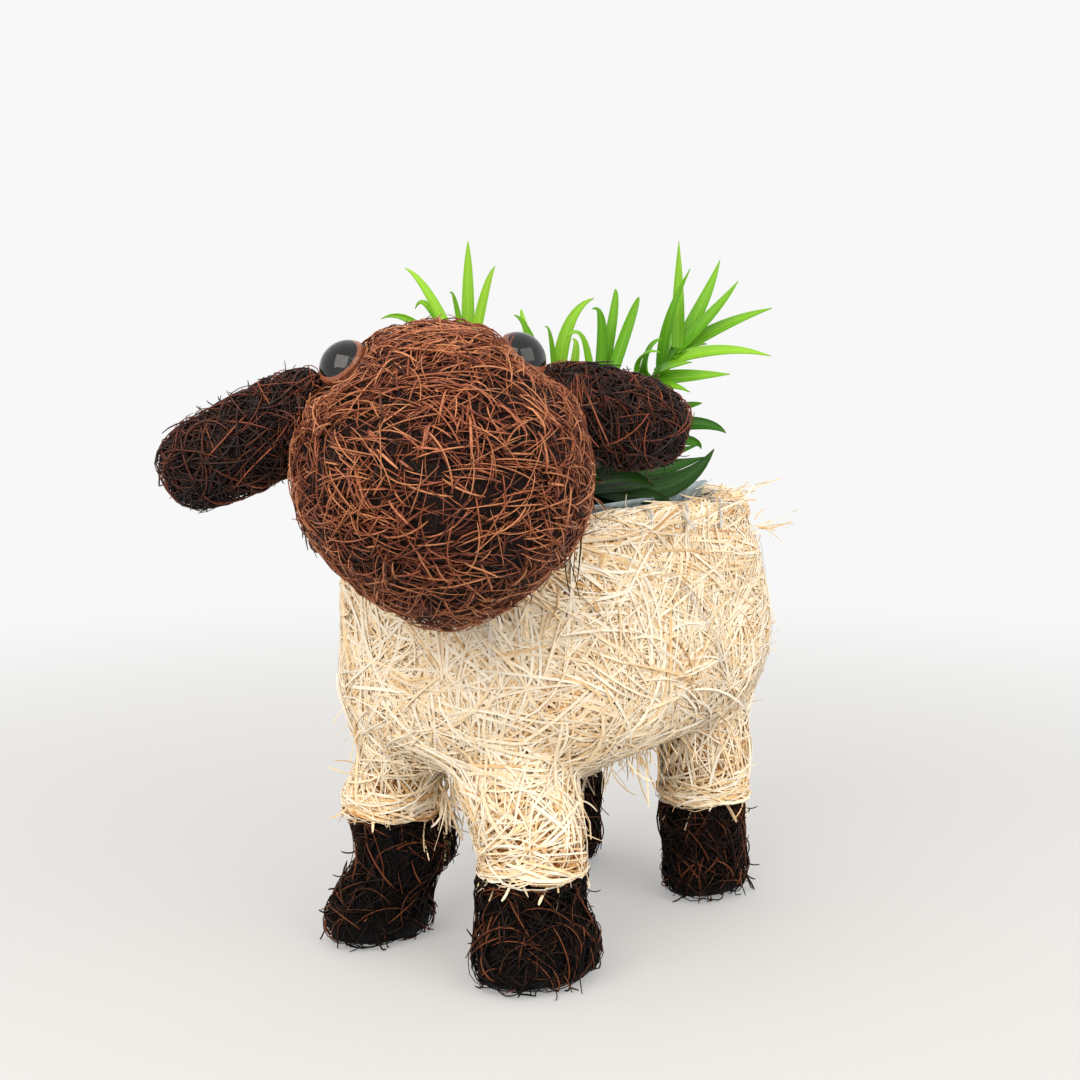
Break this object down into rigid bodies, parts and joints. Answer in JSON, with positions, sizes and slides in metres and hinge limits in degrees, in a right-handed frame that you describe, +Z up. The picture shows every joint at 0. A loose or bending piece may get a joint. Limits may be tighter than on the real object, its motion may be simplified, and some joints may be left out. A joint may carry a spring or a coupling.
{
  "type": "sheep shaped planter",
  "caption": "Free-standing sheep planter of straw and coir wound on a wire frame, with domed eyes, a film-lined pocket in its back and leafy sprigs that lift out on their planting block.",
  "frame": {"origin": "on the floor, midway between the four boots", "axes": "+Z up, -Y the way the body faces, +X the sheep's left"},
  "size_m": [0.1878, 0.3273, 0.331],
  "materials": {
    "frame_wire": "drawn steel wire",
    "tie_wire": "bright galvanised tie wire",
    "straw": "wound bleached straw fibre",
    "coir": "wound brown coir fibre",
    "boot_coir": "wound dyed coir fibre",
    "eye_clear": "polished clear acrylic",
    "eye_amber": "painted amber and black",
    "washer_plastic": "moulded black",
    "film": "crinkled film",
    "planting_mix": "crumbly planting mix",
    "leaf_green": "waxy green leaf"
  },
  "bodies": {
    "sheep": {"rim_hoop": "frame_wire", "keel_wire": "frame_wire", "front_rib": "frame_wire", "middle_rib": "frame_wire", "rear_rib": "frame_wire", "front_leg_bow": "frame_wire", "rear_leg_bow": "frame_wire", "neck_wire": "frame_wire", "left_head_bow": "frame_wire", "right_head_bow": "frame_wire", "lower_head_bow": "frame_wire", "right_ear_wire": "frame_wire", "left_ear_wire": "frame_wire", "rim_ties": "tie_wire", "body_fleece": "straw", "rim_roll": "straw", "neck_fleece": "straw", "front_right_leg_fleece": "straw", "front_left_leg_fleece": "straw", "rear_right_leg_fleece": "straw", "rear_left_leg_fleece": "straw", "head": "coir", "right_ear": "coir", "left_ear": "coir", "front_right_boot": "boot_coir", "front_left_boot": "boot_coir", "rear_right_boot": "boot_coir", "rear_left_boot": "boot_coir", "right_eye_lens": "eye_clear", "left_eye_lens": "eye_clear", "right_eye_back": "eye_amber", "left_eye_back": "eye_amber", "right_eye_washer": "washer_plastic", "left_eye_washer": "washer_plastic", "liner": "film"},
    "plant": {"planting_block": "planting_mix", "left_sprig": "leaf_green", "middle_sprig": "leaf_green", "inner_sprig": "leaf_green", "right_sprig": "leaf_green", "low_sprig": "leaf_green"}
  },
  "joints": [
    {"name": "plant_lift", "type": "slide", "parent": "sheep", "child": "plant", "axis": [0, 0, 1], "range_m": [0, 0.105]}
  ]
}
